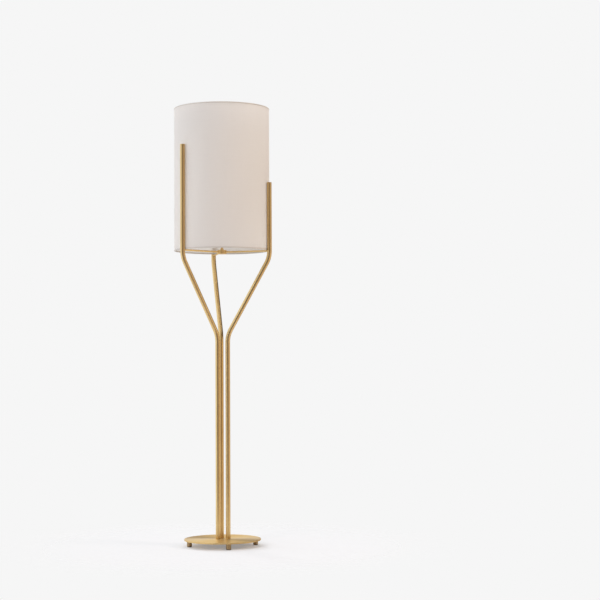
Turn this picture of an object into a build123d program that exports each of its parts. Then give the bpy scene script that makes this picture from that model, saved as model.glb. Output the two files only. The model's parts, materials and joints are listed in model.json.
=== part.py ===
from build123d import *
import os
from math import radians, sqrt, tan

# Tree floor lamp, in millimetres. Three brass tubes rise from a round base plate, flare out and
# turn upright again to hold a drum shade between them. Three thin rods under the shade's rim carry
# the lamp holder's hub, and the shade rests on them.
# The lamp stands on z = 0 with its axis on Z. A direction round that axis is an angle in degrees,
# counted from the front (-Y) towards +X. A shape is first made with +X as its outward direction.

# ---------------------------------------------------------------- fits
FIT_GAP = 0.05  # between fixed pieces that are glued, brazed or screwed together
LIFT_GAP = 0.3  # between the loose shade and what guides or carries it

# ---------------------------------------------------------------- base
BASE_D = 262.0
BASE_THICK = 5.0
BASE_EDGE = 0.6  # chamfer on the rim
FOOT_COUNT = 4
FOOT_ANGLE = 10.0  # the first foot; the low stem stands in line with the third
FOOT_INSET = 16.5  # foot's axis from the base plate's rim
FOOT_D = 17.0
FOOT_H = 18.0
FOOT_EDGE = 0.8
PAD_D = 15.0
PAD_H = 2.0
FOOT_SCREW_D = 6.0
FOOT_SCREW_HEAD_D = 10.0
FOOT_SCREW_HEAD_H = 6.0
FOOT_SCREW_GRIP = 4.0  # thread in the base plate

# ---------------------------------------------------------------- stems
STEM_ANGLES = {"tall": -50.0, "mid": 70.0, "low": 190.0}
TALL_END = 354.0  # each stem's top above the shade's lower rim
MID_END = 231.0
LOW_END = 108.0
TUBE_D = 16.0
TUBE_WALL = 1.5
STEM_CIRCLE_R = 20.0  # the upright tubes above the base
FLARE_ANGLE = 30.0  # from the upright
BEND_R = 85.0  # centre line of both bends
CAP_THICK = 1.2
CAP_SPIGOT = 8.0
CAP_EDGE = 0.4
INSERT_H = 16.0
STEM_SCREW_D = 6.0
STEM_SCREW_HEAD_D = 12.0
STEM_SCREW_HEAD_H = 3.2
STEM_SCREW_LENGTH = 15.0

# ---------------------------------------------------------------- cord inlet under the low stem
INLET_D = 10.0
INLET_BORE_D = 8.0
INLET_BELOW = 6.0  # reach below the base plate
INLET_ABOVE = 14.0  # reach above the plate's underside
INLET_NUT_ACROSS = 15.0
INLET_NUT_H = 3.5
BUSH_BORE_D = 6.4
BUSH_FLANGE_D = 12.0
BUSH_FLANGE_H = 1.5
BUSH_DEPTH = 11.0

# ---------------------------------------------------------------- shade
SHADE_D = 328.0  # over the trim
SHADE_H = 491.0
SHADE_BOTTOM_Z = 1008.4
TRIM_THICK = 0.4
TRIM_H = 4.0
FABRIC_THICK = 0.5
LINER_THICK = 0.6
RIM_WIRE_D = 3.0

# ---------------------------------------------------------------- rods and hub
ROD_D = 6.0
ROD_BORE_D = 4.0  # only in the rod that carries the lead
HUB_D = 32.0
HUB_H = 13.0
HUB_EDGE = 0.5
HUB_BOSS_D = 13.0  # the cone round the nipple
HUB_BOSS_H = 6.0
HUB_BOSS_LIP = 1.0
HUB_SOCKET_R = 7.0  # the inner end of each rod
HUB_CHAMBER_R = 5.5
HUB_LEAD_BORE_D = 3.0  # from the low stem's rod into the chamber
HUB_COVER_D = 18.0
HUB_COVER_H = 1.8
NIPPLE_D = 8.0
NIPPLE_BORE_D = 6.0
NIPPLE_GRIP = 3.5  # thread in the hub
NIPPLE_SHOWN = 20.0  # between the hub and the lamp holder
NIPPLE_NUT_ACROSS = 12.0
NIPPLE_NUT_H = 3.0

# ---------------------------------------------------------------- lamp holder
HOLDER_D = 39.0
HOLDER_WALL = 1.6
HOLDER_NECK_D = 15.0
HOLDER_NECK_H = 6.0
HOLDER_SLOPE_H = 5.0
HOLDER_CAP_H = 26.0
HOLDER_SHELL_H = 31.0
HOLDER_LIP_D = 30.0
HOLDER_LIP_H = 2.0
CORE_H = 12.0  # the ceramic core
CORE_D = 34.0
CORE_LEAD_BORE_D = 5.0
SLEEVE_WALL = 0.5
SLEEVE_H = 24.0
SLEEVE_GAP = 0.35  # thread clearance round the bulb's cap
SPRING_D = 7.0
SPRING_H = 1.6
TERMINAL_D = 4.0
TERMINAL_H = 3.0
TERMINAL_CIRCLE_R = 10.5

# ---------------------------------------------------------------- bulb
BULB_GAP = 0.3  # between its tip and the holder's spring
TIP_D = 9.0
TIP_H = 1.5
BULB_CAP_D = 26.0
BULB_CAP_H = 20.0
CAP_CONE_H = 4.0  # the black ring between tip and cap
COLLAR_FOOT_D = 26.8
COLLAR_H = 34.0
GLOBE_R = 30.0
GLOBE_WALL = 1.2
GLOBE_SEAT_R = 24.0  # where the collar meets the globe

# ---------------------------------------------------------------- lead
LEAD_D = 2.4
LEAD_CLEARANCE = 1.8  # from the low stem's bore beside its rod
LEAD_TURN_R = 30.0  # where it leaves the stem's slope
LEAD_ELBOW_R = 8.0  # into the rod
LEAD_HUB_R = 5.0  # up into the nipple
JOINT_D = 9.0  # connector of lead and supply cord, in the stem's foot
JOINT_H = 28.0

# ---------------------------------------------------------------- levels and radii that follow
FOOT_CIRCLE_R = BASE_D / 2 - FOOT_INSET
BASE_UNDER_Z = PAD_H + FOOT_H
BASE_TOP_Z = BASE_UNDER_Z + BASE_THICK
SHADE_TOP_Z = SHADE_BOTTOM_Z + SHADE_H
TRIM_OUT_R = SHADE_D / 2
FABRIC_OUT_R = TRIM_OUT_R - TRIM_THICK - FIT_GAP
FABRIC_IN_R = FABRIC_OUT_R - FABRIC_THICK
LINER_OUT_R = FABRIC_IN_R - FIT_GAP
LINER_IN_R = LINER_OUT_R - LINER_THICK
WALL_BOTTOM_Z = SHADE_BOTTOM_Z + TRIM_THICK + FIT_GAP
WALL_TOP_Z = SHADE_TOP_Z - TRIM_THICK - FIT_GAP
ROD_Z = SHADE_BOTTOM_Z - LIFT_GAP - ROD_D / 2
STEM_ENDS = {"tall": TALL_END, "mid": MID_END, "low": LOW_END}
TUBE_R = TUBE_D / 2
TUBE_BORE_R = TUBE_R - TUBE_WALL
STEM_TOP_R = TRIM_OUT_R + LIFT_GAP + TUBE_R
BEND_TANGENT = BEND_R * tan(radians(FLARE_ANGLE / 2))
UPPER_BEND_Z = ROD_Z - BEND_TANGENT
LOWER_BEND_Z = UPPER_BEND_Z - (STEM_TOP_R - STEM_CIRCLE_R) / tan(radians(FLARE_ANGLE))
ROD_END_R = STEM_TOP_R - TUBE_BORE_R
HUB_TOP_Z = ROD_Z + HUB_H / 2
HUB_BOTTOM_Z = ROD_Z - HUB_H / 2
NIPPLE_BOTTOM_Z = HUB_TOP_Z - NIPPLE_GRIP
HOLDER_Z = HUB_TOP_Z + NIPPLE_SHOWN
HOLDER_R = HOLDER_D / 2
NECK_TOP_Z = HOLDER_Z + HOLDER_NECK_H
NUT_SEAT_Z = NECK_TOP_Z + HOLDER_WALL
NIPPLE_TOP_Z = NUT_SEAT_Z + NIPPLE_NUT_H
HOLDER_CAP_TOP_Z = HOLDER_Z + HOLDER_CAP_H
HOLDER_TOP_Z = HOLDER_CAP_TOP_Z + HOLDER_SHELL_H
CORE_TOP_Z = HOLDER_CAP_TOP_Z
CORE_BOTTOM_Z = CORE_TOP_Z - CORE_H
SLEEVE_R = BULB_CAP_D / 2 + SLEEVE_GAP
TIP_Z = CORE_TOP_Z + SPRING_H + BULB_GAP
CONE_Z = TIP_Z + TIP_H
BULB_CAP_Z = CONE_Z + CAP_CONE_H
COLLAR_Z = BULB_CAP_Z + BULB_CAP_H
GLOBE_SEAT_Z = COLLAR_Z + COLLAR_H
GLOBE_CENTRE_Z = GLOBE_SEAT_Z + sqrt(GLOBE_R**2 - GLOBE_SEAT_R**2)


# ---------------------------------------------------------------- helpers
def disc(diameter, low_z, high_z, bore=0.0):
    """A flat round piece, or a ring where it has a bore."""
    outline = Circle(diameter / 2)
    if bore:
        outline -= Circle(bore / 2)
    return Pos(0, 0, low_z) * extrude(outline, high_z - low_z)


def turned(*points):
    """A piece turned on a lathe: the (radius, z) outline goes round the axis."""
    outline = Polyline(*[(radius, 0, z) for radius, z in points], close=True)
    return revolve(make_face(outline), Axis.Z)


def hexagon(across, low_z, high_z):
    return Pos(0, 0, low_z) * extrude(RegularPolygon(across / 2, 6, major_radius=False), high_z - low_z)


def at(angle, shape, radius=0.0):
    """The shape moved out by a radius and turned to its direction."""
    return Rot(0, 0, angle - 90) * Pos(radius, 0, 0) * shape


def along(radius, low_r, high_r, z):
    """A round bar lying outwards along +X."""
    bar = extrude(Plane.YZ * Circle(radius), high_r - low_r)
    return Pos(low_r, 0, z) * bar


def foot_angles():
    return [FOOT_ANGLE + 360 * i / FOOT_COUNT for i in range(FOOT_COUNT)]


# ---------------------------------------------------------------- base and feet
def countersunk(grow):
    """A countersunk stem screw; grown by a gap it is the hole for one."""
    head_r = STEM_SCREW_HEAD_D / 2 + grow
    shank_r = STEM_SCREW_D / 2 + grow
    head_top = BASE_UNDER_Z + STEM_SCREW_HEAD_H
    end = BASE_UNDER_Z + STEM_SCREW_LENGTH + grow
    return turned((0, BASE_UNDER_Z), (head_r, BASE_UNDER_Z), (shank_r, head_top), (shank_r, end), (0, end))


def base_plate():
    plate = disc(BASE_D, BASE_UNDER_Z, BASE_TOP_Z)
    plate = chamfer(plate.edges().filter_by(GeomType.CIRCLE), BASE_EDGE)
    for angle in foot_angles():
        tapped = disc(FOOT_SCREW_D + 2 * FIT_GAP, BASE_UNDER_Z, BASE_UNDER_Z + FOOT_SCREW_GRIP + FIT_GAP)
        plate -= at(angle, tapped, FOOT_CIRCLE_R)
    for name in ("tall", "mid"):
        plate -= at(STEM_ANGLES[name], countersunk(FIT_GAP), STEM_CIRCLE_R)
    inlet = disc(INLET_D + 2 * FIT_GAP, BASE_UNDER_Z, BASE_TOP_Z)
    return plate - at(STEM_ANGLES["low"], inlet, STEM_CIRCLE_R)


def foot():
    """A turned foot, bored through for its screw."""
    bore_r = FOOT_SCREW_D / 2 + FIT_GAP
    head_r = FOOT_SCREW_HEAD_D / 2 + FIT_GAP
    head_z = PAD_H + FOOT_SCREW_HEAD_H + FIT_GAP
    out = FOOT_D / 2
    return turned(
        (head_r, PAD_H),
        (out - FOOT_EDGE, PAD_H),
        (out, PAD_H + FOOT_EDGE),
        (out, BASE_UNDER_Z),
        (bore_r, BASE_UNDER_Z),
        (bore_r, head_z),
        (head_r, head_z),
    )


def foot_screw():
    head_top = PAD_H + FOOT_SCREW_HEAD_H
    head = disc(FOOT_SCREW_HEAD_D, PAD_H, head_top)
    return head + disc(FOOT_SCREW_D, head_top, BASE_UNDER_Z + FOOT_SCREW_GRIP)


# ---------------------------------------------------------------- stems
def stem_tube(top_z):
    """An upright, flared and again upright tube with the side hole that takes its rod."""
    path = FilletPolyline(
        (STEM_CIRCLE_R, 0, BASE_TOP_Z),
        (STEM_CIRCLE_R, 0, LOWER_BEND_Z),
        (STEM_TOP_R, 0, UPPER_BEND_Z),
        (STEM_TOP_R, 0, top_z - CAP_THICK),
        radius=BEND_R,
    )
    section = Plane(path @ 0, z_dir=path % 0) * (Circle(TUBE_R) - Circle(TUBE_BORE_R))
    tube = sweep(section, path)
    return tube - along(ROD_D / 2 + FIT_GAP, ROD_END_R - 2 * TUBE_WALL, STEM_TOP_R, ROD_Z)


def stem_cap(top_z):
    """The flat end cap with its spigot in the tube."""
    spigot_r = TUBE_BORE_R - FIT_GAP
    seat = top_z - CAP_THICK
    return turned(
        (0, seat - CAP_SPIGOT),
        (spigot_r, seat - CAP_SPIGOT),
        (spigot_r, seat),
        (TUBE_R, seat),
        (TUBE_R, top_z - CAP_EDGE),
        (TUBE_R - CAP_EDGE, top_z),
        (0, top_z),
    )


def stem_insert():
    """The solid tapped plug in the foot of a stem."""
    plug = disc(2 * (TUBE_BORE_R - FIT_GAP), BASE_TOP_Z, BASE_TOP_Z + INSERT_H)
    return plug - countersunk(FIT_GAP)


def inlet_insert():
    """The ring in the low stem's foot that the threaded inlet screws into."""
    return disc(2 * (TUBE_BORE_R - FIT_GAP), BASE_TOP_Z, BASE_TOP_Z + INSERT_H, INLET_D + 2 * FIT_GAP)


def inlet_tube():
    return disc(INLET_D, BASE_UNDER_Z - INLET_BELOW, BASE_UNDER_Z + INLET_ABOVE, INLET_BORE_D)


def inlet_nut():
    nut = hexagon(INLET_NUT_ACROSS, BASE_UNDER_Z - INLET_NUT_H, BASE_UNDER_Z)
    return nut - disc(INLET_D + 2 * FIT_GAP, BASE_UNDER_Z - INLET_NUT_H, BASE_UNDER_Z)


def cord_bush():
    """The bush that guards the cord in the mouth of the inlet."""
    mouth = BASE_UNDER_Z - INLET_BELOW
    flange = disc(BUSH_FLANGE_D, mouth - BUSH_FLANGE_H, mouth, BUSH_BORE_D)
    return flange + disc(INLET_BORE_D - 2 * FIT_GAP, mouth, mouth + BUSH_DEPTH - BUSH_FLANGE_H, BUSH_BORE_D)


# ---------------------------------------------------------------- rods and hub
def rod(bore=0.0):
    bar = along(ROD_D / 2, HUB_SOCKET_R, ROD_END_R, ROD_Z)
    if bore:
        bar -= along(bore / 2, HUB_SOCKET_R, ROD_END_R, ROD_Z)
    return bar


def hub():
    """A turned hub with three rod sockets, a lead chamber, a cone round the nipple and a cover recess."""
    recess_r = HUB_COVER_D / 2 + FIT_GAP
    recess_z = HUB_BOTTOM_Z + HUB_COVER_H + FIT_GAP
    thread_r = NIPPLE_D / 2 + FIT_GAP
    out = HUB_D / 2
    body = turned(
        (recess_r, HUB_BOTTOM_Z),
        (out - HUB_EDGE, HUB_BOTTOM_Z),
        (out, HUB_BOTTOM_Z + HUB_EDGE),
        (out, HUB_TOP_Z - HUB_EDGE),
        (out - HUB_EDGE, HUB_TOP_Z),
        (HUB_BOSS_D / 2, HUB_TOP_Z),
        (thread_r + HUB_BOSS_LIP, HUB_TOP_Z + HUB_BOSS_H),
        (thread_r, HUB_TOP_Z + HUB_BOSS_H),
        (thread_r, NIPPLE_BOTTOM_Z),
        (HUB_CHAMBER_R, NIPPLE_BOTTOM_Z),
        (HUB_CHAMBER_R, recess_z),
        (recess_r, recess_z),
    )
    for angle in STEM_ANGLES.values():
        body -= at(angle, along(ROD_D / 2 + FIT_GAP, HUB_SOCKET_R - FIT_GAP, HUB_D, ROD_Z))
    return body - at(STEM_ANGLES["low"], along(HUB_LEAD_BORE_D / 2, 0, HUB_SOCKET_R, ROD_Z))


def hub_cover():
    return disc(HUB_COVER_D, HUB_BOTTOM_Z, HUB_BOTTOM_Z + HUB_COVER_H)


def nipple():
    return disc(NIPPLE_D, NIPPLE_BOTTOM_Z, NIPPLE_TOP_Z, NIPPLE_BORE_D)


def nipple_nut():
    nut = hexagon(NIPPLE_NUT_ACROSS, NUT_SEAT_Z, NIPPLE_TOP_Z)
    return nut - disc(NIPPLE_D + 2 * FIT_GAP, NUT_SEAT_Z, NIPPLE_TOP_Z)


# ---------------------------------------------------------------- lamp holder
def holder_cap():
    """The bell-shaped lower half, with the neck that takes the nipple."""
    bore_r = NIPPLE_D / 2 + FIT_GAP
    neck_r = HOLDER_NECK_D / 2
    slope_top = NECK_TOP_Z + HOLDER_SLOPE_H
    inside = HOLDER_R - HOLDER_WALL
    return turned(
        (bore_r, HOLDER_Z),
        (neck_r, HOLDER_Z),
        (neck_r, NECK_TOP_Z),
        (HOLDER_R, slope_top),
        (HOLDER_R, HOLDER_CAP_TOP_Z),
        (inside, HOLDER_CAP_TOP_Z),
        (inside, slope_top + HOLDER_WALL),
        (neck_r, NUT_SEAT_Z),
        (bore_r, NUT_SEAT_Z),
    )


def holder_shell():
    """The upper half, with the lip round the bulb."""
    inside = HOLDER_R - HOLDER_WALL
    lip_r = HOLDER_LIP_D / 2
    return turned(
        (inside, HOLDER_CAP_TOP_Z),
        (HOLDER_R, HOLDER_CAP_TOP_Z),
        (HOLDER_R, HOLDER_TOP_Z),
        (lip_r, HOLDER_TOP_Z),
        (lip_r, HOLDER_TOP_Z - HOLDER_LIP_H),
        (inside, HOLDER_TOP_Z - HOLDER_LIP_H),
    )


def holder_core():
    """The ceramic core that carries the contacts, with a passage for the lead."""
    return disc(CORE_D, CORE_BOTTOM_Z, CORE_TOP_Z) - disc(
        CORE_LEAD_BORE_D, CORE_BOTTOM_Z, CORE_TOP_Z - CORE_H / 2
    )


def holder_sleeve():
    return disc(2 * (SLEEVE_R + SLEEVE_WALL), CORE_TOP_Z, CORE_TOP_Z + SLEEVE_H, 2 * SLEEVE_R)


def holder_spring():
    return disc(SPRING_D, CORE_TOP_Z, CORE_TOP_Z + SPRING_H)


def terminal_screw():
    return disc(TERMINAL_D, CORE_BOTTOM_Z - TERMINAL_H, CORE_BOTTOM_Z)


# ---------------------------------------------------------------- bulb
def bulb_tip():
    return disc(TIP_D, TIP_Z, CONE_Z)


def bulb_cone():
    return turned((0, CONE_Z), (TIP_D / 2, CONE_Z), (BULB_CAP_D / 2, BULB_CAP_Z), (0, BULB_CAP_Z))


def bulb_cap():
    return disc(BULB_CAP_D, BULB_CAP_Z, COLLAR_Z)


def bulb_collar():
    return turned((0, COLLAR_Z), (COLLAR_FOOT_D / 2, COLLAR_Z), (GLOBE_SEAT_R, GLOBE_SEAT_Z), (0, GLOBE_SEAT_Z))


def bulb_globe():
    """The opal dome: a hollow ball cut off at its seat on the collar."""
    ball = Sphere(GLOBE_R) - Sphere(GLOBE_R - GLOBE_WALL)
    seat = Plane.XY.offset(GLOBE_SEAT_Z)
    return split(Pos(0, 0, GLOBE_CENTRE_Z) * ball, seat, keep=Keep.TOP)


# ---------------------------------------------------------------- shade
def shade_fabric():
    return disc(2 * FABRIC_OUT_R, WALL_BOTTOM_Z, WALL_TOP_Z, 2 * FABRIC_IN_R)


def shade_liner():
    return disc(2 * LINER_OUT_R, WALL_BOTTOM_Z, WALL_TOP_Z, 2 * LINER_IN_R)


def rim_trim(rim_z, inward):
    """The hem that folds over the rim and round its wire; inward is +1 at the lower rim, -1 at the upper."""
    wall_out = FABRIC_OUT_R + FIT_GAP
    wire_in = LINER_IN_R - RIM_WIRE_D - 2 * FIT_GAP
    fold_z = rim_z + inward * TRIM_THICK
    end_z = rim_z + inward * TRIM_H
    return turned(
        (TRIM_OUT_R, rim_z),
        (TRIM_OUT_R, end_z),
        (wall_out, end_z),
        (wall_out, fold_z),
        (wire_in, fold_z),
        (wire_in, end_z),
        (wire_in - TRIM_THICK, end_z),
        (wire_in - TRIM_THICK, rim_z),
    )


def rim_wire(rim_z, inward):
    wire_z = rim_z + inward * (TRIM_THICK + FIT_GAP + RIM_WIRE_D / 2)
    return Pos(0, 0, wire_z) * Torus(LINER_IN_R - FIT_GAP - RIM_WIRE_D / 2, RIM_WIRE_D / 2)


# ---------------------------------------------------------------- lead
def lead():
    """The lead from its joint up the low stem, in along the rod and up the nipple."""
    joint_top = BASE_TOP_Z + INSERT_H + JOINT_H
    upright_r = STEM_TOP_R + TUBE_BORE_R - LEAD_D / 2 - LEAD_CLEARANCE
    turn_z = UPPER_BEND_Z + (upright_r - STEM_TOP_R) / tan(radians(FLARE_ANGLE))
    path = FilletPolyline(
        (STEM_CIRCLE_R, 0, joint_top),
        (STEM_CIRCLE_R, 0, LOWER_BEND_Z),
        (upright_r, 0, turn_z),
        (upright_r, 0, ROD_Z),
        (0, 0, ROD_Z),
        (0, 0, CORE_BOTTOM_Z),
        radius=[BEND_R, LEAD_TURN_R, LEAD_ELBOW_R, LEAD_HUB_R],
    )
    section = Plane(path @ 0, z_dir=path % 0) * Circle(LEAD_D / 2)
    return sweep(section, path), path.length


def lead_joint():
    low = BASE_TOP_Z + INSERT_H
    return disc(JOINT_D, low, low + JOINT_H)


# ---------------------------------------------------------------- the lamp
def build():
    """Every node of the lamp, by name."""
    nodes = {"base_plate": base_plate()}
    for name, angle in zip(("front", "right", "back", "left"), foot_angles()):
        nodes[f"foot_{name}"] = at(angle, foot(), FOOT_CIRCLE_R)
    pads = [at(angle, disc(PAD_D, 0, PAD_H), FOOT_CIRCLE_R) for angle in foot_angles()]
    nodes["foot_pads"] = Compound(pads)
    nodes["foot_screws"] = Compound([at(angle, foot_screw(), FOOT_CIRCLE_R) for angle in foot_angles()])

    for name, angle in STEM_ANGLES.items():
        top_z = SHADE_BOTTOM_Z + STEM_ENDS[name]
        carries_lead = name == "low"
        nodes[f"stem_{name}"] = at(angle, stem_tube(top_z))
        nodes[f"stem_cap_{name}"] = at(angle, stem_cap(top_z), STEM_TOP_R)
        insert = inlet_insert() if carries_lead else stem_insert()
        nodes[f"stem_insert_{name}"] = at(angle, insert, STEM_CIRCLE_R)
        nodes[f"rod_{name}"] = at(angle, rod(ROD_BORE_D if carries_lead else 0))
    screws = [at(STEM_ANGLES[name], countersunk(0), STEM_CIRCLE_R) for name in ("tall", "mid")]
    nodes["stem_screws"] = Compound(screws)

    low = STEM_ANGLES["low"]
    nodes["inlet_tube"] = at(low, inlet_tube(), STEM_CIRCLE_R)
    nodes["inlet_nut"] = at(low, inlet_nut(), STEM_CIRCLE_R)
    nodes["cord_bush"] = at(low, cord_bush(), STEM_CIRCLE_R)
    nodes["lead_joint"] = at(low, lead_joint(), STEM_CIRCLE_R)
    tube, length = lead()
    print(f"lead: {length:.1f} mm long, volume / (section x length) "
          f"{tube.volume / (length * Circle(LEAD_D / 2).area):.4f}")
    nodes["inner_lead"] = at(low, tube)

    nodes["hub"] = hub()
    nodes["hub_cover"] = hub_cover()
    nodes["nipple"] = nipple()
    nodes["nipple_nut"] = nipple_nut()
    nodes["holder_cap"] = holder_cap()
    nodes["holder_shell"] = holder_shell()
    nodes["holder_core"] = holder_core()
    nodes["holder_sleeve"] = holder_sleeve()
    nodes["holder_spring"] = holder_spring()
    nodes["terminal_screws"] = Compound([at(a, terminal_screw(), TERMINAL_CIRCLE_R) for a in (0, 180)])

    nodes["bulb_tip"] = bulb_tip()
    nodes["bulb_cone"] = bulb_cone()
    nodes["bulb_cap"] = bulb_cap()
    nodes["bulb_collar"] = bulb_collar()
    nodes["bulb_globe"] = bulb_globe()

    nodes["shade_fabric"] = shade_fabric()
    nodes["shade_liner"] = shade_liner()
    for name, rim_z, inward in (("bottom", SHADE_BOTTOM_Z, 1), ("top", SHADE_TOP_Z, -1)):
        nodes[f"shade_trim_{name}"] = rim_trim(rim_z, inward)
        nodes[f"shade_wire_{name}"] = rim_wire(rim_z, inward)
    return nodes


os.makedirs("parts", exist_ok=True)
for node, shape in build().items():
    export_step(shape, f"parts/{node}.step")
print(f"height {SHADE_TOP_Z:.1f}, stems' outer radius {STEM_TOP_R + TUBE_R:.1f}, "
      f"bends at {LOWER_BEND_Z:.1f} and {UPPER_BEND_Z:.1f}, bulb top {GLOBE_CENTRE_Z + GLOBE_R:.1f}")
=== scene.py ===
import json
import math

import bpy
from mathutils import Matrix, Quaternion, Vector


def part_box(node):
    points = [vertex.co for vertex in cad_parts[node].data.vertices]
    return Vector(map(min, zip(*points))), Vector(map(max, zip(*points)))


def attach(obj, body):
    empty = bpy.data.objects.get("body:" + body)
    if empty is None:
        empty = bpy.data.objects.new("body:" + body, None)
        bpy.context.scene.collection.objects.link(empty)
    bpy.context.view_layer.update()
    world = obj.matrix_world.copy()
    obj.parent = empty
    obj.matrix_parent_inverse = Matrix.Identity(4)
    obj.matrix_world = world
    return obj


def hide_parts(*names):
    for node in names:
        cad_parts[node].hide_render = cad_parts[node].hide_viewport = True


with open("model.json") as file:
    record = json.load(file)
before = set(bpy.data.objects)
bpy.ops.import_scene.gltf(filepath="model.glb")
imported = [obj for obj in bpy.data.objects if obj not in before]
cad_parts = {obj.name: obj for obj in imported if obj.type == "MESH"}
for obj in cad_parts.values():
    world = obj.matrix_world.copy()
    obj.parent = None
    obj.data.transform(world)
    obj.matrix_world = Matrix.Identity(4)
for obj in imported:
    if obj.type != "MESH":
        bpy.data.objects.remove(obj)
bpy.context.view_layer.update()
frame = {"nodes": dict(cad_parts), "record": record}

MM = 0.001

# ---------------------------------------------------------------- the photograph's camera
PHOTO_SIDE = 600  # pixels
FOCAL_PX = 1530.0
AXIS_PX = 222.0  # the lamp's axis in the photograph
HORIZON_PX = 362.05
CAMERA_AZIMUTH = 0.1  # degrees, 0 looks along +Y
CAMERA_DISTANCE = 5.259  # metres
CAMERA_HEIGHT = 0.626
CAMERA_ROLL = 0.27  # degrees
SENSOR = 36.0  # millimetres

# ---------------------------------------------------------------- the lamp's own sizes
STEM_ANGLES = {"tall": -50.0, "mid": 70.0, "low": 190.0}  # degrees from the front towards +X
FEET = ("front", "right", "back", "left")
STEM_FOOT_RADIUS = 20.0 * MM  # from the lamp's axis to that of each tube above the base
FLARE_ANGLE = math.radians(30)
BEND_RADIUS = 85.0 * MM
SHADE_WALL = 1.15 * MM  # cotton on its laminate
SEAM_LAP = 12.0 * MM


def middle(node):
    low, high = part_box(node)
    return (Vector(low) + Vector(high)) / 2


def half_width(node):
    low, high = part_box(node)
    return (high[0] - low[0]) / 2


def levels(node):
    low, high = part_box(node)
    return low[2], high[2]


def outward(angle):
    """The level direction of an angle counted from the front (-Y) towards +X."""
    return Vector((math.sin(math.radians(angle)), -math.cos(math.radians(angle)), 0))


def add_camera():
    azimuth = math.radians(CAMERA_AZIMUTH)
    right_of_axis = math.atan((PHOTO_SIDE / 2 - AXIS_PX) / FOCAL_PX)
    heading = right_of_axis - azimuth
    pitch = math.atan((HORIZON_PX - PHOTO_SIDE / 2) / FOCAL_PX)
    forward = Vector((
        math.sin(heading) * math.cos(pitch),
        math.cos(heading) * math.cos(pitch),
        math.sin(pitch),
    ))
    data = bpy.data.cameras.new("camera")
    data.sensor_width = SENSOR
    data.lens = SENSOR * FOCAL_PX / PHOTO_SIDE
    data.clip_end = 100
    camera = bpy.data.objects.new("camera", data)
    camera.location = (
        CAMERA_DISTANCE * math.sin(azimuth),
        -CAMERA_DISTANCE * math.cos(azimuth),
        CAMERA_HEIGHT,
    )
    camera.rotation_mode = "QUATERNION"
    roll = Quaternion((0, 0, 1), -math.radians(CAMERA_ROLL))
    camera.rotation_quaternion = forward.to_track_quat("-Z", "Y") @ roll
    bpy.context.scene.collection.objects.link(camera)
    bpy.context.scene.camera = camera


# ---------------------------------------------------------------- node helpers
def new_material(name):
    material = bpy.data.materials.new(name)
    material.use_nodes = True
    tree = material.node_tree
    return material, tree, tree.nodes["Principled BSDF"]


def feed(tree, socket, value):
    """Link an output to a socket, or set the socket where the value is a plain one."""
    if isinstance(value, bpy.types.NodeSocket):
        tree.links.new(value, socket)
    else:
        socket.default_value = value


def maths(tree, operation, *values, clamp=False):
    node = tree.nodes.new("ShaderNodeMath")
    node.operation = operation
    node.use_clamp = clamp
    for socket, value in zip(node.inputs, values):
        feed(tree, socket, value)
    return node.outputs[0]


def weigh(tree, first, second):
    """The sum of two values, each times its weight."""
    return maths(tree, "ADD", *[maths(tree, "MULTIPLY", *pair) for pair in (first, second)])


def vector(tree, operation, *values):
    node = tree.nodes.new("ShaderNodeVectorMath")
    node.operation = operation
    for socket, value in zip(node.inputs, values):
        feed(tree, socket, value)
    return node.outputs["Value" if operation in ("LENGTH", "DOT_PRODUCT") else "Vector"]


def split(tree, value):
    node = tree.nodes.new("ShaderNodeSeparateXYZ")
    feed(tree, node.inputs[0], value)
    return node.outputs["X"], node.outputs["Y"], node.outputs["Z"]


def join(tree, x, y, z):
    node = tree.nodes.new("ShaderNodeCombineXYZ")
    for socket, value in zip(node.inputs, (x, y, z)):
        feed(tree, socket, value)
    return node.outputs[0]


def place(tree, output="Object"):
    return tree.nodes.new("ShaderNodeTexCoord").outputs[output]


def remap(tree, value, low, high, to_low=0.0, to_high=1.0, smooth=False):
    node = tree.nodes.new("ShaderNodeMapRange")
    if smooth:
        node.interpolation_type = "SMOOTHSTEP"
    limits = {"From Min": low, "From Max": high, "To Min": to_low, "To Max": to_high}
    for name, number in limits.items():
        node.inputs[name].default_value = number
    feed(tree, node.inputs["Value"], value)
    return node.outputs["Result"]


def noise(tree, at, scale, detail=2.0):
    node = tree.nodes.new("ShaderNodeTexNoise")
    node.inputs["Scale"].default_value = scale
    node.inputs["Detail"].default_value = detail
    feed(tree, node.inputs["Vector"], at)
    return node.outputs["Fac"]


def ramp(tree, factor, *stops):
    node = tree.nodes.new("ShaderNodeValToRGB")
    elements = node.color_ramp.elements
    while len(elements) < len(stops):
        elements.new(0.5)
    for element, (where, colour) in zip(elements, stops):
        element.position = where
        element.color = (*colour, 1)
    tree.links.new(factor, node.inputs["Fac"])
    return node.outputs["Color"]


def blend_colour(tree, factor, first, second):
    node = tree.nodes.new("ShaderNodeMix")
    node.data_type = "RGBA"
    feed(tree, node.inputs["Factor"], factor)
    for socket, colour in ((node.inputs[6], first), (node.inputs[7], second)):
        feed(tree, socket, colour if isinstance(colour, bpy.types.NodeSocket) else (*colour, 1))
    return node.outputs[2]


def bump(tree, height, distance, strength=1.0):
    node = tree.nodes.new("ShaderNodeBump")
    node.inputs["Distance"].default_value = distance
    node.inputs["Strength"].default_value = strength
    feed(tree, node.inputs["Height"], height)
    return node.outputs["Normal"]


# ---------------------------------------------------------------- stage
FLOOR_SEEN = (0.30, 0.80)  # metres from the axis where the camera's view of the floor fades out
FLOOR_FADE = (0.6, 1.5)  # and where the floor itself does
FLOOR_RADIUS = 3.0
FLOOR_COLOUR = (0.88, 0.885, 0.89)
FLOOR_GLOW = 0.28  # share of the backdrop's own white that the camera sees in the floor
FLOOR_WHITE = 0.92

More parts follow.
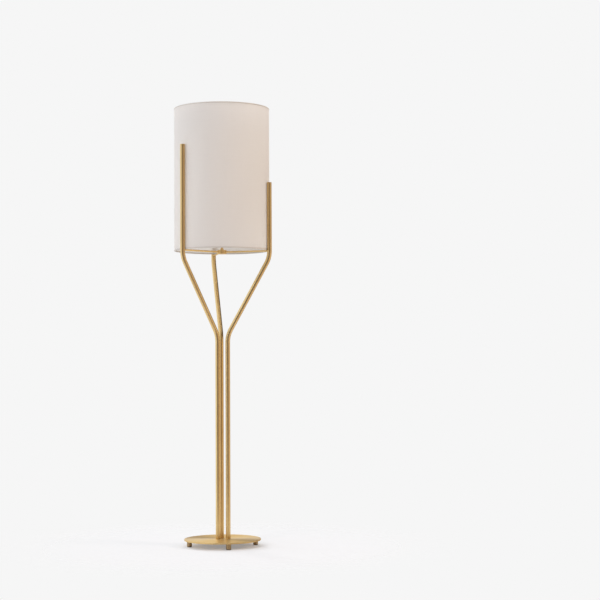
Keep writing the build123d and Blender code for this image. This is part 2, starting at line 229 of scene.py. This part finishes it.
# What surrounds the lamp, by the angle round it from the front, at its own level and higher up: soft
# walls of light to the left and right, the white backdrop behind, and the dark of the studio in front.
BACKDROP = (0.9216, 0.9216, 0.9216)  # also what the camera sees all round
LEFT_WALL = (1.06, 1.14, 1.26)
RIGHT_WALL = (1.30, 1.20, 0.98)
DIM = (0.46, 0.36, 0.35)
DARK = (0.06, 0.06, 0.07)
SURROUNDINGS = (
    (-180, BACKDROP),
    (-120, LEFT_WALL),
    (-45, LEFT_WALL),
    (-28, DARK),
    (-8, DARK),
    (12, DIM),
    (50, DIM),
    (80, RIGHT_WALL),
    (120, DIM),
    (150, DIM),
    (180, BACKDROP),
)
ABOVE = (
    (-180, BACKDROP),
    (-150, LEFT_WALL),
    (-45, LEFT_WALL),
    (20, DARK),
    (150, DARK),
    (180, BACKDROP),
)
OVERHEAD = (1.00, 0.99, 1.00)
ABOVE_FROM = (0.08, 0.35)  # sine of the height where the second ring takes over from the first
OVERHEAD_FROM = (0.5, 0.9)  # and where the light from straight above does from both


def add_world():
    world = bpy.data.worlds.new("world")
    world.use_nodes = True
    bpy.context.scene.world = world
    tree = world.node_tree
    link = tree.links.new
    shown = tree.nodes["Background"]
    shown.inputs["Color"].default_value = (*BACKDROP, 1)

    x, y, z = split(tree, place(tree, "Generated"))
    angle = maths(tree, "ARCTAN2", x, maths(tree, "MULTIPLY", y, -1.0))
    turn = remap(tree, angle, -math.pi, math.pi)
    rings = [ramp(tree, turn, *[((degrees + 180) / 360, colour) for degrees, colour in ring])
             for ring in (SURROUNDINGS, ABOVE)]
    sides = blend_colour(tree, remap(tree, z, *ABOVE_FROM, smooth=True), *rings)
    everywhere = blend_colour(tree, remap(tree, z, *OVERHEAD_FROM, smooth=True), sides, OVERHEAD)
    lit = tree.nodes.new("ShaderNodeBackground")
    link(everywhere, lit.inputs["Color"])

    path = tree.nodes.new("ShaderNodeLightPath")
    mix = tree.nodes.new("ShaderNodeMixShader")
    link(path.outputs["Is Camera Ray"], mix.inputs[0])
    link(lit.outputs[0], mix.inputs[1])
    link(shown.outputs[0], mix.inputs[2])
    link(mix.outputs[0], tree.nodes["World Output"].inputs["Surface"])


def add_lamp(name, where, target, size, watts, colour):
    """A soft box that metal doesn't mirror."""
    data = bpy.data.lights.new(name, "AREA")
    data.shape = "RECTANGLE"
    data.size, data.size_y = size
    data.energy = watts
    data.color = colour
    lamp = bpy.data.objects.new(name, data)
    lamp.location = where
    aim = Vector(target) - Vector(where)
    lamp.rotation_mode = "QUATERNION"
    lamp.rotation_quaternion = aim.to_track_quat("-Z", "Y")
    lamp.visible_glossy = False
    lamp.visible_camera = False
    bpy.context.scene.collection.objects.link(lamp)


def add_floor():
    """A round floor that fades into the backdrop's colour and keeps the lamp's shadow."""
    bpy.ops.mesh.primitive_circle_add(vertices=96, radius=FLOOR_RADIUS, fill_type="NGON")
    floor = bpy.context.object
    floor.name = "floor"
    material, tree, shader = new_material("floor")
    link = tree.links.new
    shader.inputs["Base Color"].default_value = (*FLOOR_COLOUR, 1)
    shader.inputs["Roughness"].default_value = 0.9
    shader.inputs["Specular IOR Level"].default_value = 0.0
    glow = tree.nodes.new("ShaderNodeEmission")
    glow.inputs["Color"].default_value = (FLOOR_WHITE, FLOOR_WHITE, FLOOR_WHITE, 1)
    path = tree.nodes.new("ShaderNodeLightPath")
    shown = tree.nodes.new("ShaderNodeMixShader")
    link(maths(tree, "MULTIPLY", path.outputs["Is Camera Ray"], FLOOR_GLOW), shown.inputs[0])
    link(shader.outputs[0], shown.inputs[1])
    link(glow.outputs[0], shown.inputs[2])
    reach = vector(tree, "LENGTH", place(tree))
    below = tree.nodes.new("ShaderNodeNewGeometry").outputs["Backfacing"]
    unseen = maths(tree, "MULTIPLY", path.outputs["Is Camera Ray"],
                   maths(tree, "MAXIMUM", remap(tree, reach, *FLOOR_SEEN, smooth=True), below))
    far = maths(tree, "MAXIMUM", remap(tree, reach, *FLOOR_FADE, smooth=True), unseen)
    clear = tree.nodes.new("ShaderNodeBsdfTransparent")
    mix = tree.nodes.new("ShaderNodeMixShader")
    link(far, mix.inputs[0])
    link(shown.outputs[0], mix.inputs[1])
    link(clear.outputs[0], mix.inputs[2])
    link(mix.outputs[0], tree.nodes["Material Output"].inputs["Surface"])
    floor.data.materials.append(material)


# ---------------------------------------------------------------- brass
BRASS = (0.77, 0.55, 0.25), (0.69, 0.47, 0.20)  # clean and tarnished
# Darker brass for the feet, clean and tarnished: painted shade from under the base plate.
FEET_BRASS_PAINTED_SHADE = (0.42, 0.29, 0.15), (0.34, 0.23, 0.12)
PITTED = (0.42, 0.27, 0.12)
BRASS_EDGE = (1.00, 0.92, 0.77)  # what it reflects at a glancing angle
SATIN = (0.24, 0.36)  # range of the roughness
SCRATCHED = (0.34, 0.46)
GRAIN = (2600.0, 2600.0, 14.0)  # fine brushed lines to a metre, across and along
BANDS = (420.0, 420.0, 5.0)  # broad ones
ROUND_GRAIN = 0.08  # metres of grain to a radian, where it runs in circles


def finish_brass(name, grain, tangent, colours=BRASS, roughness=SATIN, anisotropy=0.6):
    """Satin brass with brushed lines, tarnish clouds and the gloss that they leave.

    The grain is a position whose third axis runs along the brushing, and the tangent lies across it.
    """
    material, tree, shader = new_material(name)
    fine = noise(tree, vector(tree, "MULTIPLY", grain(tree), GRAIN), 1.0)
    broad = noise(tree, vector(tree, "MULTIPLY", grain(tree), BANDS), 1.0)
    clouds = noise(tree, place(tree), 9.0, 4.0)
    specks = noise(tree, place(tree), 240.0, 3.0)
    tone = weigh(tree, (broad, 0.45), (clouds, 0.55))
    colour = blend_colour(tree, remap(tree, tone, 0.38, 0.66), *colours)
    pits = remap(tree, specks, 0.66, 0.80, 0.0, 0.18)
    colour = blend_colour(tree, pits, colour, PITTED)
    feed(tree, shader.inputs["Base Color"], colour)
    gloss = weigh(tree, (fine, 0.6), (clouds, 0.4))
    feed(tree, shader.inputs["Roughness"], remap(tree, gloss, 0.3, 0.7, *roughness))
    feed(tree, shader.inputs["Normal"], bump(tree, fine, 0.02 * MM, 0.5))
    shader.inputs["Metallic"].default_value = 1.0
    shader.inputs["Specular Tint"].default_value = (*BRASS_EDGE, 1)
    shader.inputs["Anisotropic"].default_value = anisotropy
    feed(tree, shader.inputs["Tangent"], tangent(tree))
    return material


def surface_normal(tree):
    return tree.nodes.new("ShaderNodeNewGeometry").outputs["Normal"]


def stem_brass(name, angle):
    """Brushed along the bent tube: the grain follows its centre line out and up."""
    out = outward(angle)
    top_radius = middle(f"stem_cap_{name}").xy.length
    reach = BEND_RADIUS * math.tan(FLARE_ANGLE / 2)
    upper = middle(f"rod_{name}").z - reach
    lower = upper - (top_radius - STEM_FOOT_RADIUS) / math.tan(FLARE_ANGLE)

    def grain(tree):
        at = place(tree)
        radius = remap(tree, split(tree, at)[2], lower, upper, STEM_FOOT_RADIUS, top_radius)
        x = maths(tree, "MULTIPLY", radius, out.x)
        y = maths(tree, "MULTIPLY", radius, out.y)
        return vector(tree, "SUBTRACT", at, join(tree, x, y, 0.0))

    def tangent(tree):
        height = split(tree, place(tree))[2]
        rise = remap(tree, height, lower - reach, lower + reach, smooth=True)
        turn_back = remap(tree, height, upper - reach, upper + reach, 1.0, 0.0, smooth=True)
        lean = maths(tree, "MULTIPLY", maths(tree, "MULTIPLY", rise, turn_back), math.tan(FLARE_ANGLE))
        x = maths(tree, "MULTIPLY", lean, out.x)
        y = maths(tree, "MULTIPLY", lean, out.y)
        return vector(tree, "CROSS_PRODUCT", join(tree, x, y, 1.0), surface_normal(tree))

    return finish_brass(f"brass_stem_{name}", grain, tangent)


def rod_brass(name, angle):
    """Drawn rod: the grain runs outwards."""
    out = outward(angle)
    side = Vector((0, 0, 1)).cross(out)

    def grain(tree):
        at = place(tree)
        across = vector(tree, "DOT_PRODUCT", at, tuple(side))
        along = vector(tree, "DOT_PRODUCT", at, tuple(out))
        return join(tree, across, split(tree, at)[2], along)

    def tangent(tree):
        return vector(tree, "CROSS_PRODUCT", tuple(out), surface_normal(tree))

    return finish_brass(f"brass_rod_{name}", grain, tangent)


def lathe_brass(name, centre=Vector((0, 0, 0)), **finish):
    """Turned or spun: the grain runs in circles round an upright axis."""
    def from_axis(tree):
        return split(tree, vector(tree, "SUBTRACT", place(tree), (centre.x, centre.y, 0.0)))

    def grain(tree):
        x, y, z = from_axis(tree)
        radius = vector(tree, "LENGTH", join(tree, x, y, 0.0))
        turn = maths(tree, "ARCTAN2", y, x)
        return join(tree, radius, z, maths(tree, "MULTIPLY", turn, ROUND_GRAIN))

    def tangent(tree):
        x, y, _ = from_axis(tree)
        ring = join(tree, maths(tree, "MULTIPLY", y, -1.0), x, 0.0)
        return vector(tree, "CROSS_PRODUCT", ring, surface_normal(tree))

    return finish_brass(name, grain, tangent, **finish)


# ---------------------------------------------------------------- other hard materials
def mottled(name, colour, darker, roughness, metallic=0.0, scale=60.0, grit=0.03 * MM, coat=0.0):
    """A hard surface with clouds of a darker tone, a roughness that follows them, and a fine grit."""
    material, tree, shader = new_material(name)
    clouds = noise(tree, place(tree), scale, 4.0)
    tone = blend_colour(tree, remap(tree, clouds, 0.35, 0.7), colour, darker)
    gloss = remap(tree, clouds, 0.3, 0.7, roughness - 0.06, roughness + 0.08)
    feed(tree, shader.inputs["Base Color"], tone)
    feed(tree, shader.inputs["Roughness"], gloss)
    grain = noise(tree, place(tree), 1800.0, 3.0)
    feed(tree, shader.inputs["Normal"], bump(tree, grain, grit))
    shader.inputs["Metallic"].default_value = metallic
    shader.inputs["Coat Weight"].default_value = coat
    return material


# ---------------------------------------------------------------- shade materials
COTTON = (0.93, 0.897, 0.853)
COTTON_SHADED = (0.90, 0.865, 0.82)
LINING = (0.94, 0.93, 0.91)
# The hem is the same cotton drawn darker than the wall: painted shade along the folded rims.
HEM_PAINTED_SHADE = (0.80, 0.75, 0.68)
HEM_PAINTED_SHADE_DEEPER = (0.72, 0.67, 0.60)
THREAD = 0.55 * MM
WEFT_SLUBS = (14.0, 330.0, 1.0)  # thick places to a metre, along the weft and up the warp
WARP_SLUBS = (420.0, 10.0, 1.0)
COTTON_SHEER = 0.50  # share of the light that a face lets through instead of sending back
LINING_SHEER = 0.70
HEM_SHEER = 0.15


def woven(tree, uv):
    """Height and tone of a plain weave; uv is in metres along the weft and the warp."""
    u, v, _ = split(tree, uv)
    across = maths(tree, "SINE", maths(tree, "MULTIPLY", u, math.pi / THREAD))
    along = maths(tree, "SINE", maths(tree, "MULTIPLY", v, math.pi / THREAD))
    over = maths(tree, "GREATER_THAN", maths(tree, "MULTIPLY", across, along), 0.0)
    warp = maths(tree, "ABSOLUTE", across)
    weft = maths(tree, "ABSOLUTE", along)
    return weigh(tree, (over, warp), (maths(tree, "SUBTRACT", 1.0, over), weft)), over


def cloth(name, colour, shaded, roughness, sheer):
    """Plain woven cotton with slubs in both directions, which lets some of the light through."""
    material, tree, shader = new_material(name)
    uv = place(tree, "UV")
    height, over = woven(tree, uv)
    weft_slubs = noise(tree, vector(tree, "MULTIPLY", uv, WEFT_SLUBS), 1.0, 3.0)
    warp_slubs = noise(tree, vector(tree, "MULTIPLY", uv, WARP_SLUBS), 1.0, 3.0)
    slubs = weigh(tree, (weft_slubs, 0.6), (warp_slubs, 0.4))
    tone = weigh(tree, (remap(tree, slubs, 0.30, 0.72), 0.8), (over, 0.2))
    tinted = blend_colour(tree, tone, colour, shaded)
    feed(tree, shader.inputs["Base Color"], tinted)
    shader.inputs["Roughness"].default_value = roughness
    shader.inputs["Specular IOR Level"].default_value = 0.25
    shader.inputs["Sheen Weight"].default_value = 0.04
    shader.inputs["Sheen Roughness"].default_value = 0.5
    relief = weigh(tree, (height, 0.6), (slubs, 1.2))
    feed(tree, shader.inputs["Normal"], bump(tree, relief, 0.06 * MM, 0.7))
    through(tree, shader, tinted, sheer)
    return material


def through(tree, shader, colour, share):
    """Let a share of the light through the face, spread as paper or cloth does."""
    sheer = tree.nodes.new("ShaderNodeBsdfTranslucent")
    feed(tree, sheer.inputs["Color"], colour)
    mix = tree.nodes.new("ShaderNodeMixShader")
    mix.inputs[0].default_value = share
    tree.links.new(shader.outputs[0], mix.inputs[1])
    tree.links.new(sheer.outputs[0], mix.inputs[2])
    tree.links.new(mix.outputs[0], tree.nodes["Material Output"].inputs["Surface"])


def laminate(name):
    """The white plastic lining, smooth with a faint orange-peel."""
    material, tree, shader = new_material(name)
    clouds = noise(tree, place(tree), 22.0, 3.0)
    shaded = tuple(0.97 * share for share in LINING)
    tinted = blend_colour(tree, remap(tree, clouds, 0.3, 0.7), LINING, shaded)
    feed(tree, shader.inputs["Base Color"], tinted)
    shader.inputs["Roughness"].default_value = 0.45
    peel = noise(tree, place(tree), 700.0, 2.0)
    feed(tree, shader.inputs["Normal"], bump(tree, peel, 0.03 * MM, 0.4))
    through(tree, shader, tinted, LINING_SHEER)
    return material


# ---------------------------------------------------------------- mesh helpers
SHARP_ANGLE = math.radians(35)


def new_piece(name, vertices, faces, body, materials, replaced=(), uvs=None, face_materials=None):
    mesh = bpy.data.meshes.new(name)
    mesh.from_pydata([tuple(v) for v in vertices], [], faces)
    mesh.polygons.foreach_set("use_smooth", [True] * len(faces))
    if face_materials:
        mesh.polygons.foreach_set("material_index", face_materials)
    if uvs:
        layer = mesh.uv_layers.new(name="UVMap")
        for polygon, corners in zip(mesh.polygons, uvs):
            for loop, corner in zip(polygon.loop_indices, corners):
                layer.data[loop].uv = corner
    mesh.update()
    mesh.set_sharp_from_angle(angle=SHARP_ANGLE)
    piece = bpy.data.objects.new(name, mesh)
    for material in materials:
        mesh.materials.append(material)
    bpy.context.scene.collection.objects.link(piece)
    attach(piece, body)
    if replaced:
        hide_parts(*replaced)
    return piece


def around(count):
    return [2 * math.pi * k / count for k in range(count)]


def spin(outline, angles, wobble=None):
    """Vertices, faces and UVs of a closed outline of (radius, z) turned about the axis.

    The UVs are in metres, round the axis and along the outline.
    """
    lengths = [0.0]
    for (r0, z0), (r1, z1) in zip(outline, outline[1:] + outline[:1]):
        lengths.append(lengths[-1] + math.hypot(r1 - r0, z1 - z0))
    vertices = []
    for angle in angles:
        for index, (radius, z) in enumerate(outline):
            if wobble:
                radius, z = wobble(angle, radius, z, index)
            vertices.append((radius * math.sin(angle), -radius * math.cos(angle), z))
    faces = []
    uvs = []
    count = len(outline)
    girth = max(radius for radius, _ in outline)
    for k, angle in enumerate(angles):
        after = (k + 1) % len(angles)
        here = angle * girth
        there = (angles[after] if after else 2 * math.pi) * girth
        for i in range(count):
            j = (i + 1) % count
            faces.append((k * count + i, after * count + i, after * count + j, k * count + j))
            start, end = lengths[i], lengths[i + 1]
            uvs.append(((here, start), (there, start), (there, end), (here, end)))
    return vertices, faces, uvs


def threaded_outline(radius, bore, low, high, pitch, depth, ends, step):
    """The outline of a threaded tube, and the wobble that winds its outer side into a screw."""
    rows = round((high - low) / step)
    outer = [(radius, low + (high - low) * k / rows) for k in range(rows + 1)]
    outline = outer + [(bore, high), (bore, low)]

    def wind(angle, r, z, index):
        if index > rows:
            return r, z
        fade = min(1.0, (z - low) / ends, (high - z) / ends)
        wave = 0.5 - 0.5 * math.cos(2 * math.pi * z / pitch + angle)
        return r - depth * fade * wave, z

    return outline, wind


def offset(line, distance):
    """The line moved sideways by a distance, to the right of its run."""
    moved = []
    for k, (r, z) in enumerate(line):
        r0, z0 = line[max(k - 1, 0)]
        r1, z1 = line[min(k + 1, len(line) - 1)]
        run = math.hypot(r1 - r0, z1 - z0)
        moved.append((r + distance * (z1 - z0) / run, z - distance * (r1 - r0) / run))
    return moved


# ---------------------------------------------------------------- pieces
SHADE_ROWS = 28
SHADE_SIDES = 180
LAP_STEP = 0.4 * MM  # how far the lapped cloth stands off
LAP_EDGE = 0.25 * MM  # width of its edge
SLACK = 0.08 * MM  # that glued cloth keeps


def add_shade(materials):
    """The cotton on its laminate, lapped at the back, with a hem folded over each rim wire."""
    low, high = levels("shade_fabric")
    outer = half_width("shade_fabric")
    inner = outer - SHADE_WALL
    side = [(outer, low + (high - low) * k / SHADE_ROWS) for k in range(SHADE_ROWS + 1)]
    back = [(inner, z) for _, z in reversed(side)]
    lap = SEAM_LAP / 2 / outer
    edge = LAP_EDGE / outer
    angles = [a for a in around(SHADE_SIDES) if abs(a - math.pi) > lap + 3 * edge]
    for reach in (lap / 2, lap, lap + edge):
        angles += [math.pi - reach, math.pi + reach]
    angles = sorted(angles + [math.pi])

    def drape(angle, radius, z, index):
        """The cloth's slack, and the lap's step on the outer side."""
        slack = SLACK * math.sin(3 * angle + 1.1) * math.sin(5.0 * z + 2 * angle)
        if index <= SHADE_ROWS and abs(angle - math.pi) <= lap + 1e-9:
            slack += LAP_STEP
        return radius + slack, z

    vertices, faces, uvs = spin(side + back, angles, drape)
    per_ring = len(side + back)
    inner_side = [int(SHADE_ROWS < k % per_ring < per_ring - 1) for k in range(len(faces))]
    wall = new_piece(
        "shade_wall", vertices, faces, "shade",
        [materials["cotton"], materials["lining"]], ["shade_fabric", "shade_liner"], uvs, inner_side
    )
    hems = [add_hem(name, materials["hem"]) for name in ("bottom", "top")]


HEM_THICK = 0.4 * MM
HEM_CURL = 1.0 * MM  # depth of the hem's round edge
HEM_REACH = 3.3 * MM  # of its inner leg behind the wire's outer side
HEM_STEPS = 12


def add_hem(name, material):
    """A strip of the cotton folded round the rim: an outer leg, a round edge and an inner leg."""
    node = f"shade_trim_{name}"
    low, high = levels(node)
    rim, end = (low, high) if name == "bottom" else (high, low)
    up = 1 if name == "bottom" else -1
    out = half_width(node) - HEM_THICK / 2
    inside = half_width(f"shade_wire_{name}") - HEM_REACH
    centre = (out + inside) / 2
    half = (out - inside) / 2
    line = [(out, end)]
    for k in range(HEM_STEPS + 1):
        turn = math.pi * k / HEM_STEPS
        depth = HEM_THICK / 2 + HEM_CURL * (1 - math.sin(turn) ** 0.5)
        line.append((centre + half * math.cos(turn), rim + up * depth))
    line.append((inside, end))
    outline = offset(line, HEM_THICK / 2) + offset(line, -HEM_THICK / 2)[::-1]
    vertices, faces, uvs = spin(outline, around(SHADE_SIDES))
    hem = f"shade_hem_painted_shade_{name}"
    return new_piece(hem, vertices, faces, "shade", [material], [node], uvs)


# A thread's pitch and depth, the length over which it fades out at its ends, and the mesh's step.
CAP_THREAD = {"pitch": 3.629 * MM, "depth": 1.1 * MM, "ends": 2.5 * MM, "step": 0.3 * MM}
CAP_BORE_R = 8.0 * MM
NIPPLE_THREAD = {"pitch": 1.0 * MM, "depth": 0.45 * MM, "ends": 0.6 * MM, "step": 0.125 * MM}
NIPPLE_BORE_R = 3.0 * MM


def add_bulb_thread(material):
    low, high = levels("bulb_cap")
    outline, wind = threaded_outline(half_width("bulb_cap"), CAP_BORE_R, low, high, **CAP_THREAD)
    vertices, faces, uvs = spin(outline, around(72), wind)
    new_piece("bulb_screw_cap", vertices, faces, "bulb", [material], ["bulb_cap"], uvs)


def add_nipple_thread(material):
    low, high = levels("nipple")
    outline, wind = threaded_outline(half_width("nipple"), NIPPLE_BORE_R, low, high, **NIPPLE_THREAD)
    vertices, faces, uvs = spin(outline, around(40), wind)
    new_piece("nipple_thread", vertices, faces, "stand", [material], ["nipple"], uvs)


SCREW_R = 3.0 * MM
SCREW_HEAD_R = 6.0 * MM
SCREW_HEAD_H = 3.2 * MM
SOCKET_R = 2.3 * MM  # at the hexagon's corners
SOCKET_DEPTH = 2.2 * MM
SCREW_SIDES = 48
SIXTH = math.pi / 3


def hexagon_radius(turn):
    return SOCKET_R * math.cos(SIXTH / 2) / math.cos(turn % SIXTH - SIXTH / 2)


def add_socket_screws(material):
    """The two countersunk stem screws from below, each with its hexagon socket."""
    low, high = levels("stem_screws")
    rings = [  # radius and height, where None is the socket's hexagon
        (None, low + SOCKET_DEPTH),
        (None, low + 0.2 * MM),
        (SCREW_HEAD_R - 0.3 * MM, low),
        (SCREW_HEAD_R, low + 0.15 * MM),
        (SCREW_R, low + SCREW_HEAD_H),
        (SCREW_R, high - 0.5 * MM),
        (SCREW_R - 0.5 * MM, high),
    ]
    vertices = []
    faces = []
    for name in ("tall", "mid"):
        centre = outward(STEM_ANGLES[name]) * STEM_FOOT_RADIUS
        base = len(vertices)
        for radius, z in rings:
            for turn in around(SCREW_SIDES):
                r = radius or hexagon_radius(turn)
                vertices.append((centre.x + r * math.cos(turn), centre.y + r * math.sin(turn), z))
        for ring in range(len(rings) - 1):
            a = base + ring * SCREW_SIDES
            b = a + SCREW_SIDES
            for k in range(SCREW_SIDES):
                after = (k + 1) % SCREW_SIDES
                faces.append((a + k, a + after, b + after, b + k))
        faces.append(tuple(base + k for k in reversed(range(SCREW_SIDES))))
        top = base + (len(rings) - 1) * SCREW_SIDES
        faces.append(tuple(top + k for k in range(SCREW_SIDES)))
    new_piece("stem_socket_screws", vertices, faces, "stand", [material], ["stem_screws"])


BRAZE_REACH = 1.6 * MM
BRAZE_IN_ROD = 0.2 * MM  # how far it is sunk into the rod
BRAZE_IN_HUB = 0.6 * MM


def add_braze(material):
    """The small fillets of braze where the rods enter the hub."""
    hub_radius = half_width("hub")
    rod_low, rod_high = levels("rod_tall")
    rod = (rod_high - rod_low) / 2
    wide = rod + BRAZE_REACH
    narrow = rod - BRAZE_IN_ROD
    profile = [(narrow, -BRAZE_IN_HUB), (wide, -BRAZE_IN_HUB), (wide, 0.0)]
    for turn in (math.radians(degrees) for degrees in (18, 36, 54, 72, 90)):
        profile.append((wide - BRAZE_REACH * math.sin(turn), BRAZE_REACH * (1 - math.cos(turn))))
    profile.append((narrow, BRAZE_REACH))
    vertices = []
    faces = []
    for angle in STEM_ANGLES.values():
        ring, ring_faces, _ = spin(profile, around(32))
        base = len(vertices)
        out = outward(angle)
        side = Vector((0, 0, 1)).cross(out)
        for x, y, along in ring:
            at = out * (hub_radius + along) + side * x + Vector((0, 0, rod_low + rod + y))
            vertices.append(tuple(at))
        faces += [tuple(base + i for i in face) for face in ring_faces]
    new_piece("braze_fillets", vertices, faces, "stand", [material])


# ---------------------------------------------------------------- the scene
scene = bpy.context.scene
scene.view_settings.view_transform = "Standard"
add_camera()
add_world()
add_floor()
add_lamp("key", (-1.6, 3.2, 1.7), (0, 0, 0.7), (0.9, 1.2), 36, (1.00, 0.99, 0.98))
add_lamp("front_left", (-2.1, -3.6, 2.0), (0, 0, 1.2), (1.2, 1.2), 38, (1.00, 0.88, 0.82))
add_lamp("right", (3.6, -1.3, 2.0), (0, 0, 1.2), (1.2, 1.2), 54, (1.00, 0.85, 0.75))

spun = lathe_brass("brass_spun")
by_node = {"base_plate": lathe_brass("brass_plate", roughness=SCRATCHED, anisotropy=0.9)}
for name, angle in STEM_ANGLES.items():
    by_node[f"stem_{name}"] = stem_brass(name, angle)
    by_node[f"rod_{name}"] = rod_brass(name, angle)
    by_node[f"stem_cap_{name}"] = lathe_brass(f"brass_cap_{name}", middle(f"stem_cap_{name}"))
for name in FEET:
    foot = f"foot_{name}"
    # The feet take the darker brass, which paints the shade under the base plate.
    by_node[foot] = lathe_brass(f"brass_{foot}", middle(foot), colours=FEET_BRASS_PAINTED_SHADE)

by_slot = {
    "brass": spun,
    "steel": mottled("zinc_steel", (0.62, 0.62, 0.61), (0.50, 0.50, 0.50), 0.34, 1.0),
    "pad": mottled("foot_rubber", (0.035, 0.033, 0.03), (0.05, 0.048, 0.045), 0.78, grit=0.08 * MM),
    "black_plastic": mottled("black_plastic", (0.028, 0.028, 0.028), (0.04, 0.04, 0.04), 0.45),
    "lead": mottled("lead_sheath", (0.72, 0.70, 0.64), (0.66, 0.64, 0.58), 0.5),
    "ceramic": mottled("ceramic", (0.86, 0.85, 0.81), (0.80, 0.79, 0.74), 0.24, coat=0.4),
    "bulb_metal": mottled("bulb_metal", (0.72, 0.71, 0.68), (0.60, 0.59, 0.56), 0.26, 1.0),
    "bulb_insulator": mottled("bulb_insulator", (0.02, 0.02, 0.02), (0.035, 0.03, 0.03), 0.15),
    "bulb_body": mottled("bulb_body", (0.86, 0.86, 0.85), (0.82, 0.82, 0.81), 0.38),
    "opal": mottled("opal", (0.92, 0.91, 0.88), (0.89, 0.88, 0.85), 0.28, scale=14.0, grit=0.02 * MM),
}
shade_materials = {
    "cotton": cloth("shade_cotton", COTTON, COTTON_SHADED, 0.45, COTTON_SHEER),
    "lining": laminate("shade_lining"),
    # The hem's darker cotton paints the shade along the folded rims.
    "hem": cloth("shade_hem_painted_shade", HEM_PAINTED_SHADE, HEM_PAINTED_SHADE_DEEPER, 0.85, HEM_SHEER),
}
slots = {part["node"]: part["material_slot"] for part in frame["record"]["subparts"]}
for node, obj in frame["nodes"].items():
    obj.data.materials.clear()
    obj.data.materials.append(by_node.get(node) or by_slot.get(slots[node]) or shade_materials["hem"])

add_shade(shade_materials)
add_bulb_thread(by_slot["bulb_metal"])
add_nipple_thread(spun)
add_socket_screws(by_slot["steel"])
add_braze(spun)
